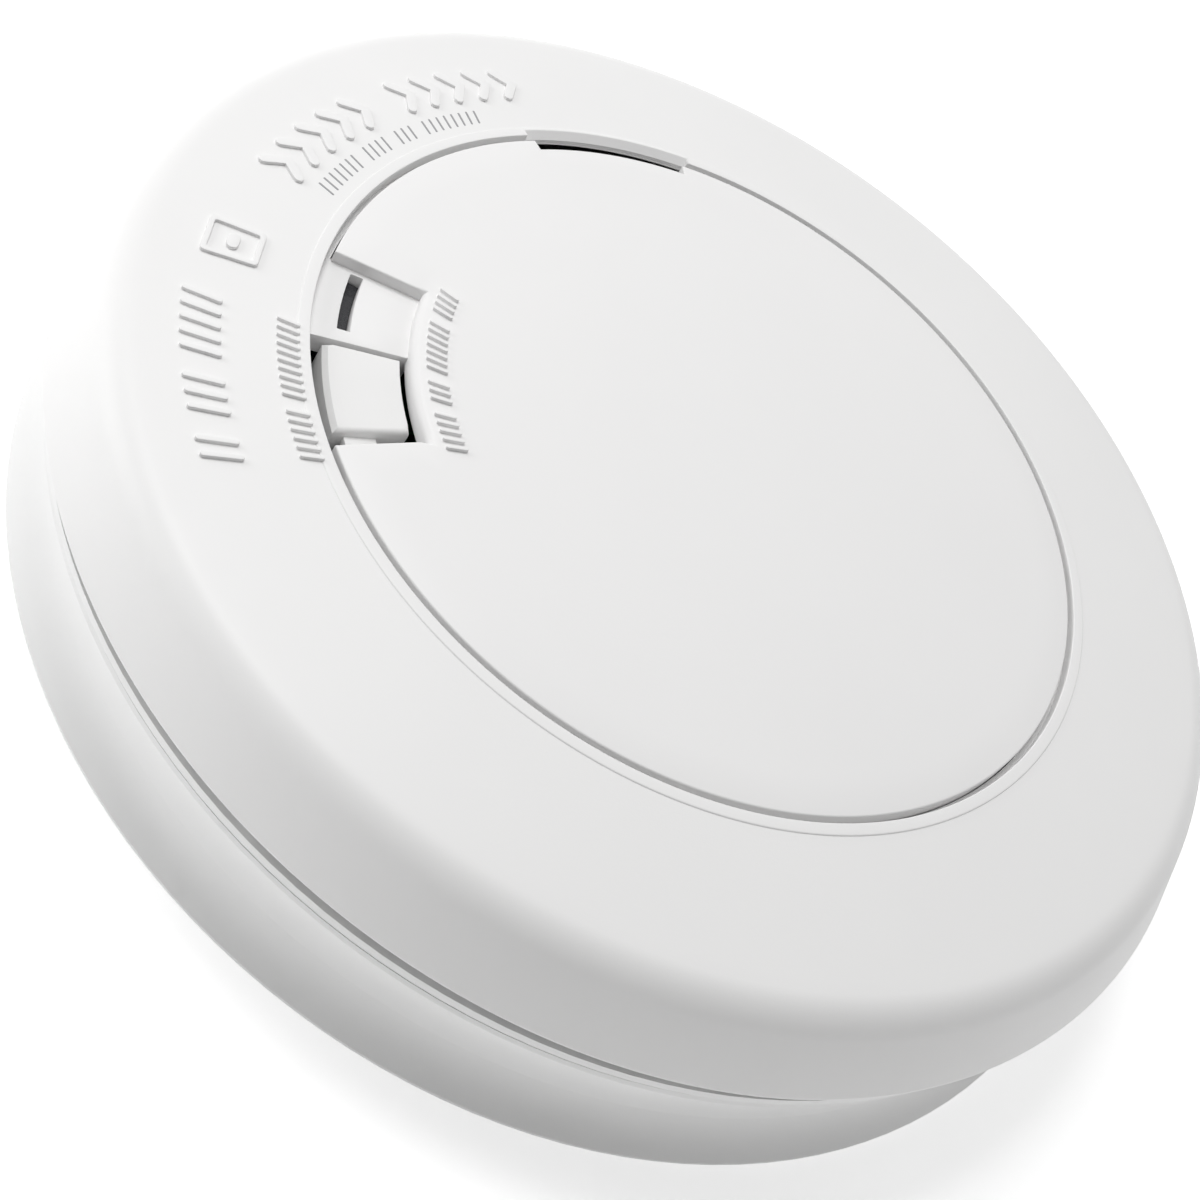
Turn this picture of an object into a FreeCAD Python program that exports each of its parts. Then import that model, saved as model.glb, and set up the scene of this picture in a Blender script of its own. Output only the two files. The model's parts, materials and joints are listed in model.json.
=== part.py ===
import FreeCAD, Part
import math
import os

# Slim round smoke and carbon monoxide alarm on its mounting bracket.
# Millimetres.  Z is the face normal, z = 0 is the bracket's mounting face.

V = FreeCAD.Vector
UP = V(0, 0, 1)

# Overall sizes
body_radius = 71.0
body_height = 31.95
dome_radius = 578.0
shell = 2.0

# Clearances
fit_gap = 0.05
part_gap = 0.1
loose_gap = 0.3
moving_gap = 0.4
reveal = 0.7

# How far pieces run into each other where they fuse, and how far a cut runs past a face
bite = 0.5
overcut = 1.0

# Mounting bracket
plate_thickness = 2.2
trim_height = 14.2
trim_rim_radius = 69.93
trim_rim_height = 0.7
trim_rim_foot = 0.4
trim_rim_curve = (0.08, 0.2)
trim_waist_radius = 67.35
trim_waist_height = 6.0
trim_shoulder = (69.45, 0.6)
trim_top_radius = 69.35
trim_inner_radius = 66.1
centre_hole_radius = 24.0
screw_slot_spacing = 79.4
screw_slot_length = 19.0
screw_slot_radius = 2.5
screw_head_radius = 4.8
screw_head_depth = 1.2

# Bayonet
hook_angles = (100.0, 220.0, 340.0)
hook_half_angle = 4.0
hook_thickness = 1.8
hook_stem = 2.0
hook_reach = 2.5
hook_inset = 2.9
twist_range = 15.0
slot_end_gap = 0.7
lip_clearance = 0.4

# Rear housing
housing_wall = 1.8
floor_thickness = 2.0
floor_lift = 0.8
lip_radius = 69.75
lip_thickness = 1.0
parting_gap = 0.75
air_slot = 2.59
wall_rise = 5.4

# Label pocket on the back
label_length = 38.0
label_width = 22.0
label_margin = 0.5
label_recess = 0.3
label_thickness = 0.15

# Front cover and centre panel
wall_draft = 22.0
shoulder_fillet = 4.5
panel_radius = 46.2
panel_lip_height = 0.12
panel_lip_width = 1.3
collar = 2.0
seat_depth = 3.7
seat_thickness = 1.5
seat_width = 3.7
panel_rim = 1.6
cover_ribs = 9
first_rib_angle = 15.0
rib_half_width = 0.8
rib_gap = 0.2
rib_setback = 2.0
rib_cover = (0.8, 0.4)
clip_angles = (35.0, 128.0, 205.0, 237.0, 303.0, 335.0)
clip_half_angle = 3.0
clip_thickness = 1.1
clip_barb = 1.2
clip_height = 1.5
clip_gap = 0.2

# Button pocket in the centre panel
pocket_start = 151.5
pocket_end = 185.5
pocket_width = 10.2
pocket_wall = 1.2
pocket_lip = 2.3
recess_depth = 1.45
recess_floor = 1.4
divider_wall = 1.0
divider_angle = 166.0
indicator_inset = (3.9, 2.5)
indicator_turn = (152.3, 163.7)
pipe_depth = 1.2
pipe_stem_radius = 1.6
pipe_stem_lift = 1.4
pipe_flange = (0.8, 0.6, 1.5)
led_spacing_angle = 3.2
led_size = (3.2, 1.6, 0.8)

# Test button
button_start = 166.5
button_end = 181.6
button_gap = 0.7
button_outer_gap = 1.3
button_skin = 1.0
button_skirt = 2.8
button_wall = 1.2
button_drop = 0.3
button_bevel = 0.5
button_round = 0.55
pivot_angle = 187.3
pivot_depth = 3.35
pivot_radius = 0.7
pivot_barrel = 1.1
pivot_inset = 1.0
cheek_inset = (1.2, 2.6)
cheek_half_width = 2.0
cheek_depth = 1.6
tab_thickness = 1.0
tab_clear = (1.3, 1.0, 3.0)
stem_angle = 177.0
stem_inset = 5.0
stem_radius = 1.6
stem_tip = 1.0
stem_tip_length = 1.2
switch_size = 6.0
switch_height = 3.5
plunger_radius = 1.75
plunger_well = 1.4
plunger_foot = 2.4
plunger_rise = 9.4
hinge_inset = (4.0, 7.6)

# Board
board_radius_gap = 3.9
board_thickness = 1.6
board_height = 4.0
board_screw_angles = (68.0, 152.0, 190.0, 352.0)
board_screw_inset = 9.9
board_screw_radius = 1.2
board_screw_head = 2.4
board_screw_head_height = 1.5
board_screw_slot = (1.3, 0.3, 0.8)
board_screw_tip = 0.3
board_post_radius = 3.0

# Cover screws
cover_screw_angles = (50.0, 140.0, 236.0, 304.0)
cover_screw_inset = 5.9
cover_screw_radius = 1.45
cover_screw_head = 2.7
cover_screw_head_height = 1.8
cover_screw_slot = (1.5, 0.35, 1.0)
cover_screw_tip_gap = 0.5
cover_screw_grip = 5.8
cover_screw_bite = 6.0
post_radius = 4.0
post_height = 8.8
boss_radius = 3.5

# Smoke chamber
chamber_radius = 21.5
chamber_height = 16.0
chamber_floor = 1.6
chamber_roof = 1.4
vane_count = 24
vane_span = (15.3, 19.6)
vane_half = 0.45
vane_hook = (0.9, 2.2)
screen_span = (1.3, 0.9)
pad_span = (12.0, 18.0)
pad_thickness = 1.2
optic_height = 3.3
optic_angles = (240.0, 100.0)
optic_radius = 2.5
optic_lens = 1.2
optic_span = (9.9, 14.2)
optic_block = (7.5, 14.6, 3.6)
optic_bore = 1.4

# Horn
horn_centre_y = 40.5
horn_radius = 18.0
horn_wall = 1.8
horn_height = 10.0
horn_roof = 1.4
horn_ledge = (1.2, 3.2, 4.6)
duct_wall = 1.2
duct_turn = 1.6
seal_thickness = 0.9
horn_port_width = 2.25
horn_port_turn = (77.3, 103.1)
horn_notch = (76.5, 104.0)
horn_slope = 0.7
horn_slope_drop = 0.9
piezo_radius = 15.5
piezo_thickness = 0.3
ceramic_radius = 9.8
ceramic_thickness = 0.25
spring_places = ((0.0, 0.0, True), (-6.5, 180.0, True), (8.6, 0.0, False))
spring_reach = 4.0
spring_arm = 2.5
spring_half = 0.8
spring_thickness = 0.25

# Carbon monoxide cell
co_place = (43.0, 6.0)
co_radius = 10.0
co_height = 10.4
co_stand = 1.6
co_bore = 3.0
co_cap_height = 1.2
co_cap_step = 1.5
co_inlet = 1.0
co_pin_circle = 5.0
co_pin_radius = 0.5
co_pin_tail = 1.0

# Batteries
cell_radius = 8.4
cell_length = 33.4
cell_gap = 0.8
cell_button = (3.2, 1.1)
cradle_wall = 1.2
cradle_end_room = 2.0
cradle_side_room = 0.4
cradle_cover = 0.55
cradle_end_rise = 2.0
cradle_ribs = (-12.0, 10.8)
cradle_rib_drop = 3.0
cradle_clear = 0.9
tab_strip = 0.25
tab_half = (2.0, 3.0)

# Parts on the board
chip_place = (-34.0, -16.0)
chip_size = 10.0
chip_height = 1.5
chip_leads = 8
chip_pitch = 1.2
chip_lead = (0.25, 4.8, 6.3, 0.4)
inductor_place = (30.0, -20.0)
inductor_flange = 4.5
inductor_core = 3.2
inductor_wire = 4.2
inductor_levels = (1.5, 6.0, 7.5)
capacitor_places = ((-26.0, -32.0), (-35.5, -31.0))
capacitor_radius = 4.0
capacitor_height = 10.0
capacitor_groove = (3.6, 4.2, 1.2, 1.8)
chip_part_grid = (4, 5)
chip_part_first = (24.0, -28.0)
chip_part_pitch = (5.5, 3.2)
chip_part_size = (3.2, 1.6, 0.7)
chip_part_clear = 8.0

# Sliders on the back
power_radius = 52.0
power_angle = 120.0
power_post_radius = 1.4
power_post_rise = 1.5
power_slot_turn = 0.6
power_half_width = 2.5
power_half_length = 3.2
power_height = 2.8
power_rail = (1.0, 2.4, 5.0)
stop_place = (37.8, 28.0)
stop_travel = 4.0
stop_nub = (2.5, 2.0)
stop_plate = (4.0, 3.4, 1.3)
stop_groove = (0.4, 3.0, 0.9)
stop_rail = (1.2, 1.8)

# Levels that follow from the sizes above
floor_bottom = plate_thickness + floor_lift
floor_top = floor_bottom + floor_thickness
board_bottom = floor_top + board_height
board_top = board_bottom + board_thickness
lip_bottom = trim_height + parting_gap
lip_top = lip_bottom + lip_thickness
skirt_height = lip_top + air_slot
housing_radius = trim_inner_radius - moving_gap
housing_inner = housing_radius - housing_wall
board_radius = housing_inner - board_radius_gap
collar_radius = panel_radius + reveal
pocket_inner_radius = panel_radius - pocket_width
indicator_slot = (panel_radius - indicator_inset[0], panel_radius - indicator_inset[1],
                  indicator_turn[0], indicator_turn[1])
pivot_reach = pocket_inner_radius + pivot_inset
cheek_span = (pocket_inner_radius + cheek_inset[0], pocket_inner_radius + cheek_inset[1])
stem_place = pocket_inner_radius + stem_inset
hinge_tab = (pocket_inner_radius + hinge_inset[0], pocket_inner_radius + hinge_inset[1])
horn_port = (collar_radius - horn_port_width, collar_radius, horn_port_turn[0], horn_port_turn[1])
hook_outer = housing_inner - hook_inset
post_place = housing_inner - cover_screw_inset
board_screw_place = housing_inner - board_screw_inset


def dome_height(r, depth=0.0):
    return body_height - dome_radius + math.sqrt((dome_radius - depth) ** 2 - r ** 2)


panel_edge = dome_height(panel_radius)
seat_top = panel_edge - seat_depth
seat_bottom = seat_top - seat_thickness
recess_top = dome_height((indicator_slot[0] + indicator_slot[1]) / 2) - recess_depth
recess_bottom = recess_top - recess_floor
pivot_z = dome_height(stem_place) - pivot_depth
plunger_top = board_top + plunger_rise


def polar(r, angle, z=0.0):
    a = math.radians(angle)
    return V(r * math.cos(a), r * math.sin(a), z)


def disc(r, z0, z1, centre=(0.0, 0.0)):
    return Part.makeCylinder(r, z1 - z0, V(centre[0], centre[1], z0))


def ring(inner, outer, z0, z1, centre=(0.0, 0.0)):
    return disc(outer, z0, z1, centre).cut(disc(inner, z0, z1, centre))


def box(x0, x1, y0, y1, z0, z1):
    return Part.makeBox(x1 - x0, y1 - y0, z1 - z0, V(x0, y0, z0))


def turned(shape, angle, centre=V(0, 0, 0)):
    copy = shape.copy()
    copy.rotate(centre, UP, angle)
    return copy


def sector(inner, outer, start, end, z0, z1):
    pie = Part.makeCylinder(outer, z1 - z0, V(0, 0, z0), UP, end - start)
    pie = turned(pie, start)
    return pie.cut(disc(inner, z0 - 1, z1 + 1))


def radial_box(r0, r1, angle, half_width, z0, z1):
    return turned(box(r0, r1, -half_width, half_width, z0, z1), angle)


def radial_rod(r0, r1, angle, z, radius):
    return Part.makeCylinder(radius, r1 - r0, polar(r0, angle, z), polar(1, angle))


def revolved(start, steps):
    # each step is an end point, or a middle and an end point for an arc
    edges = []
    here = V(start[0], 0, start[1])
    for step in steps:
        end = V(step[-2], 0, step[-1])
        if len(step) == 4:
            edges.append(Part.Arc(here, V(step[0], 0, step[1]), end).toShape())
        else:
            edges.append(Part.LineSegment(here, end).toShape())
        here = end
    first = V(start[0], 0, start[1])
    if here.distanceToPoint(first) > 1e-6:
        edges.append(Part.LineSegment(here, first).toShape())
    return Part.Face(Part.Wire(edges)).revolve(V(0, 0, 0), UP, 360)


def swept(points, start, end):
    # a straight-sided outline of (r, z) points turned from one angle to another
    corners = [V(r, 0, z) for r, z in points]
    face = Part.Face(Part.makePolygon(corners + corners[:1]))
    return turned(face.revolve(V(0, 0, 0), UP, end - start), start)


def fused(shapes):
    whole = shapes[0]
    if len(shapes) > 1:
        whole = whole.multiFuse(shapes[1:])
    return whole.removeSplitter()


def save(node, shape):
    if shape.ShapeType == "Compound" and len(shape.Solids) == 1:
        shape = shape.Solids[0]
    shape.exportStep("parts/" + node + ".step")
    print(node, len(shape.Solids), round(shape.Volume, 1))


def shoulder(depth):
    # the fillet between the domed face and the drafted wall, at a depth below the skin
    d = math.radians(wall_draft)
    wall = (math.cos(d), math.sin(d))
    reach = wall[0] * body_radius + wall[1] * skirt_height - shoulder_fillet
    span = dome_radius - shoulder_fillet
    base = body_height - dome_radius
    # centre (r, z) with wall . centre = reach and r^2 + (z - base)^2 = span^2
    tilt = math.asin((reach - wall[1] * base) / span)
    r = span * math.sin(tilt - d)
    z = base + span * math.cos(tilt - d)
    lean = math.asin(r / span)
    size = shoulder_fillet - depth
    middle = (math.radians(90) - d + lean) / 2
    first = (r + size * math.sin(lean), z + size * math.cos(lean))
    half = (r + size * math.sin(middle), z + size * math.cos(middle))
    last = (r + size * wall[0], z + size * wall[1])
    return first, half, last


def skirt_foot(depth):
    d = math.radians(wall_draft)
    return body_radius - depth / math.cos(d)


def hollow_middle(waist, end):
    # middle of the arc that leaves the waist upright and runs to a point
    r = end[0] - waist[0]
    z = end[1] - waist[1]
    radius = (r * r + z * z) / (2 * r)
    half = math.asin(z / radius) / 2
    return waist[0] + radius * (1 - math.cos(half)), waist[1] + radius * math.sin(half)


def mounting_bracket():
    rim = (trim_rim_radius, trim_rim_height)
    waist = (trim_waist_radius, trim_waist_height)
    shoulder_point = (trim_shoulder[0], trim_height - trim_shoulder[1])
    solid = revolved(
        (centre_hole_radius, 0),
        [(trim_rim_radius - trim_rim_foot, 0),
         (trim_rim_radius - trim_rim_curve[0], trim_rim_curve[1]) + rim,
         hollow_middle(waist, rim) + waist,
         hollow_middle(waist, shoulder_point) + shoulder_point,
         (trim_top_radius, trim_height),
         (trim_inner_radius, trim_height),
         (trim_inner_radius, plate_thickness),
         (centre_hole_radius, plate_thickness)])
    for side in (-1, 1):
        x = side * screw_slot_spacing / 2
        reach = screw_slot_length / 2 - screw_slot_radius
        for r, z0 in ((screw_slot_radius, -overcut), (screw_head_radius, plate_thickness - screw_head_depth)):
            solid = solid.cut(box(x - reach, x + reach, -r, r, z0, plate_thickness + overcut))
            for end in (-reach, reach):
                solid = solid.cut(disc(r, z0, plate_thickness + overcut, (x + end, 0)))
    pieces = [solid]
    lip_z = floor_top + lip_clearance
    for angle in hook_angles:
        a0 = angle - hook_half_angle
        a1 = angle + hook_half_angle
        top = lip_z + hook_thickness
        pieces.append(sector(hook_outer - hook_stem, hook_outer, a0, a1, plate_thickness - bite, top))
        pieces.append(sector(hook_outer - hook_stem - hook_reach, hook_outer, a0, a1, lip_z, top))
    post = polar(power_radius, power_angle)
    post_top = floor_top + power_post_rise
    pieces.append(disc(power_post_radius, plate_thickness - bite, post_top, (post.x, post.y)))
    return fused(pieces)


def rear_housing():
    solid = revolved(
        (0, floor_bottom),
        [(housing_radius, floor_bottom),
         (housing_radius, lip_bottom),
         (lip_radius, lip_bottom),
         (lip_radius, lip_top),
         (housing_radius, lip_top),
         (housing_radius, lip_top + wall_rise),
         (housing_inner, lip_top + wall_rise),
         (housing_inner, floor_top),
         (0, floor_top)])
    pieces = [solid]
    cuts = []
    post_top = floor_top + post_height
    seat = post_top - cover_screw_grip
    for angle in cover_screw_angles:
        p = polar(post_place, angle)
        centre = (p.x, p.y)
        pieces.append(disc(post_radius, floor_bottom, post_top, centre))
        cuts.append(disc(cover_screw_head + loose_gap, floor_bottom - overcut, seat, centre))
        cuts.append(disc(cover_screw_radius + loose_gap, seat - overcut, post_top + overcut, centre))
    for angle in board_screw_angles:
        p = polar(board_screw_place, angle)
        centre = (p.x, p.y)
        pieces.append(disc(board_post_radius, floor_bottom, board_bottom, centre))
        cuts.append(disc(board_screw_radius + fit_gap, floor_top, board_bottom + overcut, centre))
    for angle in hook_angles:
        gap = math.degrees(slot_end_gap / hook_outer)
        far = angle + hook_half_angle + gap
        near = angle - twist_range - hook_half_angle - gap
        turn = angle - twist_range + hook_half_angle + gap
        inner = hook_outer - hook_stem - moving_gap
        outer = hook_outer + moving_gap
        cuts.append(sector(inner, outer, near, far, floor_bottom - overcut, floor_top + overcut))
        inner -= hook_reach
        cuts.append(sector(inner, outer, near, turn, floor_bottom - overcut, floor_top + overcut))
    half = power_post_radius + moving_gap
    end = math.degrees(half / power_radius) + power_slot_turn
    cuts.append(sector(power_radius - half, power_radius + half, power_angle - twist_range - end,
                       power_angle + end, floor_bottom - overcut, floor_top + overcut))
    rail_wall, rail_height, rail_turn = power_rail
    rail = power_radius - power_half_width - moving_gap
    rail_start = power_angle - twist_range - rail_turn
    pieces.append(sector(rail - rail_wall, rail, rail_start, power_angle + rail_turn,
                         floor_bottom, floor_top + rail_height))
    x, y = stop_place
    half_x = stop_nub[0] + loose_gap
    half_y = stop_nub[1] + loose_gap
    cuts.append(box(x - half_x, x + half_x + stop_travel, y - half_y, y + half_y,
                    floor_bottom - overcut, floor_top + overcut))
    reach = stop_plate[0] + 2 * moving_gap
    for side in (-1, 1):
        y0 = y + side * (stop_plate[1] + loose_gap)
        y1 = y0 + side * stop_rail[0]
        pieces.append(box(x - reach, x + reach + stop_travel, min(y0, y1), max(y0, y1),
                          floor_bottom, floor_top + stop_rail[1]))
    solid = fused(pieces)
    for cut in cuts:
        solid = solid.cut(cut)
    # shallow pocket for the rating label
    x = label_length / 2 + label_margin
    y = label_width / 2 + label_margin
    return solid.cut(box(-x, x, -y, y, floor_bottom - overcut, floor_bottom + label_recess))


def back_label():
    z0 = floor_bottom + label_recess - label_thickness
    x = label_length / 2
    y = label_width / 2
    return box(-x, x, -y, y, z0, z0 + label_thickness)


def cover_profile(depth):
    first, half, last = shoulder(depth)
    return first, half, last, (skirt_foot(depth), skirt_height)


def front_cover():
    first, half, last, foot = cover_profile(0.0)
    in_first, in_half, in_last, in_foot = cover_profile(shell)
    lip = collar_radius + panel_lip_width
    inner = collar_radius + collar
    mid = (lip + first[0]) / 2
    in_mid = (inner + in_first[0]) / 2
    solid = revolved(
        (collar_radius, seat_top),
        [(collar_radius, dome_height(collar_radius) + panel_lip_height),
         (lip, dome_height(lip) + panel_lip_height),
         (lip, dome_height(lip)),
         (mid, dome_height(mid)) + first,
         half + last,
         foot,
         in_foot,
         in_last,
         in_half + in_first,
         (in_mid, dome_height(in_mid, shell)) + (inner, dome_height(inner, shell)),
         (inner, seat_bottom),
         (collar_radius - seat_width, seat_bottom),
         (collar_radius - seat_width, seat_top)])
    envelope = revolved(
        (0, 0),
        [(0, body_height), (mid, dome_height(mid)) + first, half + last, foot, (foot[0], 0)])
    edge = foot[0] - rib_cover[0]
    low = skirt_height + rib_cover[1]
    inside = envelope.cut(ring(edge, foot[0] + overcut, -overcut, low))
    added = []
    for k in range(cover_ribs):
        angle = first_rib_angle + k * 360.0 / cover_ribs
        added.append(radial_box(housing_radius + rib_gap, lip_radius - rib_setback, angle, rib_half_width,
                                lip_top, body_height))
    for angle in cover_screw_angles:
        p = polar(post_place, angle)
        added.append(disc(boss_radius, floor_top + post_height, body_height, (p.x, p.y)))
    added = [piece.common(inside) for piece in added]
    solid = fused([solid] + added)
    for angle in cover_screw_angles:
        p = polar(post_place, angle)
        top = floor_top + post_height + cover_screw_bite + cover_screw_tip_gap
        solid = solid.cut(disc(cover_screw_radius + fit_gap, floor_top, top, (p.x, p.y)))
    solid = solid.cut(sector(horn_port[0], collar_radius, horn_notch[0], horn_notch[1],
                             seat_bottom - overcut, body_height + overcut))
    slope = [(collar_radius - overcut, panel_edge - 2 * horn_slope_drop),
             (collar_radius, panel_edge - horn_slope_drop),
             (collar_radius + horn_slope, panel_edge),
             (collar_radius + 2 * horn_slope, body_height + overcut),
             (collar_radius - overcut, body_height + overcut)]
    solid = solid.cut(swept(slope, horn_notch[0], horn_notch[1]))
    # the seat is left out below the button and its pivot
    shelf = collar_radius - seat_width - overcut
    end = pivot_angle + tab_clear[2]
    low = seat_bottom - overcut
    return solid.cut(sector(shelf, collar_radius, pocket_start, end, low, seat_top + overcut))


def lowered_dome(depth, radius):
    # solid under the domed face, let down by a depth
    half = radius / 2
    return revolved(
        (0, 0),
        [(0, body_height - depth),
         (half, dome_height(half) - depth, radius, dome_height(radius) - depth),
         (radius, 0)])


def centre_panel():
    rim = panel_radius - panel_rim
    solid = revolved(
        (0, body_height - shell),
        [(0, body_height),
         (panel_radius / 2, dome_height(panel_radius / 2), panel_radius, panel_edge),
         (panel_radius, seat_top),
         (rim, seat_top),
         (rim, dome_height(rim, shell)),
         (rim / 2, dome_height(rim / 2, shell), 0, body_height - shell)])
    turn = math.degrees(pocket_wall / panel_radius)
    outside = sector(pocket_inner_radius - pocket_wall, panel_radius, pocket_start - turn, pocket_end + turn,
                     seat_top, panel_edge - bite)
    # beside the button the inner wall is only a lip, open below
    window = sector(pocket_inner_radius - pocket_wall, pocket_inner_radius, divider_angle, pocket_end,
                    seat_top, dome_height(pocket_inner_radius) - pocket_lip)
    solid = fused([solid, outside.cut(window)])
    solid = solid.cut(sector(pocket_inner_radius, panel_radius + overcut, pocket_start, pocket_end,
                             0, body_height + overcut))
    # recess floor, out to the cover and level with the domed face, ending in the divider
    reach = collar_radius - part_gap
    floor = sector(pocket_inner_radius - bite, panel_radius, pocket_start - bite, divider_angle,
                   recess_bottom, body_height)
    brim = sector(panel_radius - bite, reach, pocket_start + loose_gap, divider_angle,
                  recess_bottom, body_height)
    divider = sector(pocket_inner_radius - bite, panel_radius, divider_angle - divider_wall, divider_angle,
                     seat_top, body_height)
    recess = fused([floor, brim, divider]).common(lowered_dome(recess_depth, body_radius))
    solid = fused([solid, recess])
    r0, r1, a0, a1 = indicator_slot
    solid = solid.cut(sector(r0, r1, a0, a1, 0, body_height + overcut))
    solid = solid.cut(sector(horn_port[0], panel_radius + overcut, horn_port[2], horn_port[3],
                             0, body_height + overcut))
    # the button's pivot cheek, its bore through the rim and the gap for the hinge tab
    cheek = radial_box(cheek_span[0], cheek_span[1], pivot_angle, cheek_half_width,
                       pivot_z - cheek_depth, body_height)
    solid = fused([solid, cheek.common(lowered_dome(bite, panel_radius))])
    solid = solid.cut(radial_rod(pocket_inner_radius + bite, panel_radius + overcut, pivot_angle, pivot_z,
                                 pivot_radius + fit_gap))
    tab_gap = sector(hinge_tab[0] - tab_clear[0], hinge_tab[1] + tab_clear[1], pocket_end - overcut,
                     pivot_angle + tab_clear[2], 0, pivot_z + pivot_barrel + loose_gap)
    solid = solid.cut(tab_gap)
    leg = collar_radius - seat_width - loose_gap
    low = seat_bottom - clip_gap - clip_height
    for angle in clip_angles:
        a0 = angle - clip_half_angle
        a1 = angle + clip_half_angle
        clip = fused([
            sector(leg - clip_thickness, leg, a0, a1, low, body_height),
            sector(leg - clip_thickness, leg + clip_barb, a0, a1, low, seat_bottom - clip_gap)])
        solid = fused([solid, clip.common(lowered_dome(bite, panel_radius))])
    return solid


def button_depth():
    return recess_depth + button_drop


def test_button():
    inner = pocket_inner_radius + button_gap
    outer = panel_radius - button_outer_gap
    top = dome_height(outer) - button_depth()
    under = top - button_skin
    low = under - button_skirt
    cap = sector(inner, outer, button_start, button_end, low, body_height)
    cap = cap.common(lowered_dome(button_depth(), body_radius))
    # hollow below, and open at the pivot end
    turn = math.degrees(button_wall / outer)
    hollow = sector(inner + button_wall, outer - button_wall, button_start + turn, button_end + overcut,
                    low - overcut, under)
    cap = cap.cut(hollow)
    bevel = [(outer - button_bevel, top + overcut), (outer - button_bevel, top), (outer, top - button_bevel),
             (outer + overcut, top - button_bevel), (outer + overcut, top + overcut)]
    cap = cap.cut(swept(bevel, button_start - overcut, button_end + overcut))
    middle = (inner + outer) / 2
    far = polar(middle, button_end, dome_height(middle) - button_depth())
    edges = [e for e in cap.Edges if e.CenterOfMass.distanceToPoint(far) < button_round]
    cap = cap.makeFillet(button_round, edges)
    t0, t1 = hinge_tab
    half = tab_thickness / 2
    tab = sector(t0, t1, button_end - overcut, pivot_angle, pivot_z - half, pivot_z + half)
    barrel_end = panel_radius - panel_rim - 2 * part_gap
    barrel = radial_rod(cheek_span[1] + loose_gap, barrel_end, pivot_angle, pivot_z, pivot_barrel)
    journal = radial_rod(pivot_reach, panel_radius - moving_gap, pivot_angle, pivot_z, pivot_radius)
    p = polar(stem_place, stem_angle)
    foot = plunger_top + part_gap / 2
    stem = disc(stem_radius, foot + stem_tip_length, under + bite, (p.x, p.y))
    tip = Part.makeCone(stem_tip, stem_radius, stem_tip_length, V(p.x, p.y, foot))
    return fused([cap, tab, barrel, journal, stem, tip])


def switch_body():
    p = polar(stem_place, stem_angle)
    half = switch_size / 2
    solid = box(p.x - half, p.x + half, p.y - half, p.y + half, board_top, board_top + switch_height)
    well = disc(plunger_radius + fit_gap, board_top + plunger_well, board_top + switch_height + overcut,
                (p.x, p.y))
    return solid.cut(well)


def switch_plunger():
    p = polar(stem_place, stem_angle)
    return disc(plunger_radius, board_top + plunger_foot, plunger_top, (p.x, p.y))


def light_pipe():
    r0, r1, a0, a1 = indicator_slot
    inward, outward, thickness = pipe_flange
    flange = sector(r0 - inward, r1 + outward, a0, a1, recess_bottom - thickness, recess_bottom)
    head = sector(r0 + part_gap, r1 - part_gap, a0 + loose_gap, a1 - loose_gap, recess_bottom - bite,
                  recess_top - pipe_depth)
    p = polar((r0 + r1) / 2, (a0 + a1) / 2)
    stem = disc(pipe_stem_radius, board_top + pipe_stem_lift, recess_bottom - bite, (p.x, p.y))
    return fused([flange, head, stem])


def status_leds():
    r0, r1, a0, a1 = indicator_slot
    length, width, height = led_size
    middle = (r0 + r1) / 2
    leds = []
    for step in (-1, 0, 1):
        angle = (a0 + a1) / 2 + led_spacing_angle * step
        leds.append(radial_box(middle - length / 2, middle + length / 2, angle, width / 2,
                               board_top, board_top + height))
    return Part.makeCompound(leds)


def battery_rows():
    first = -(chamber_radius + cradle_wall + cradle_clear + cell_radius)
    return (first, first - 2 * cell_radius - cell_gap)


def battery_axis_height():
    return floor_top + cradle_wall + part_gap + cell_radius


def battery_cells():
    cells = []
    z = battery_axis_height()
    for y in battery_rows():
        can = Part.makeCylinder(cell_radius, cell_length, V(-cell_length / 2, y, z), V(1, 0, 0))
        button = Part.makeCylinder(cell_button[0], cell_button[1], V(cell_length / 2, y, z), V(1, 0, 0))
        cells.append(can.fuse(button).removeSplitter())
    return Part.makeCompound(cells)


def cradle_ends():
    return cell_length / 2 + cradle_end_room


def battery_cradle():
    near, far = battery_rows()
    x = cradle_ends()
    y0 = far - cradle_cover * cell_radius
    y1 = near + cell_radius + cradle_side_room
    end = x + cradle_wall
    pieces = [box(-end, end, y0, y1, floor_top, floor_top + cradle_wall)]
    top = battery_axis_height() + cradle_end_rise
    for side in (-end, x):
        pieces.append(box(side, side + cradle_wall, y0, y1, floor_top, top))
    pieces.append(box(-end, end, y1, y1 + cradle_wall, floor_top, top))
    for x0 in cradle_ribs:
        pieces.append(box(x0, x0 + cradle_wall, y0, y1, floor_top, battery_axis_height() - cradle_rib_drop))
    solid = fused(pieces)
    for y in battery_rows():
        z = battery_axis_height()
        solid = solid.cut(Part.makeCylinder(cell_radius + part_gap, 2 * x, V(-x, y, z), V(1, 0, 0)))
    return solid


def battery_tabs():
    near, far = battery_rows()
    z = battery_axis_height()
    x = cell_length / 2
    small, large = tab_half
    tabs = [box(-x - tab_strip, -x, far - small, near + small, z - small, z + small)]
    face = x + cell_button[1]
    for y in (near, far):
        tabs.append(box(face, face + tab_strip, y - small, y + small, z - large, z + large))
    return Part.makeCompound(tabs)


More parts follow.
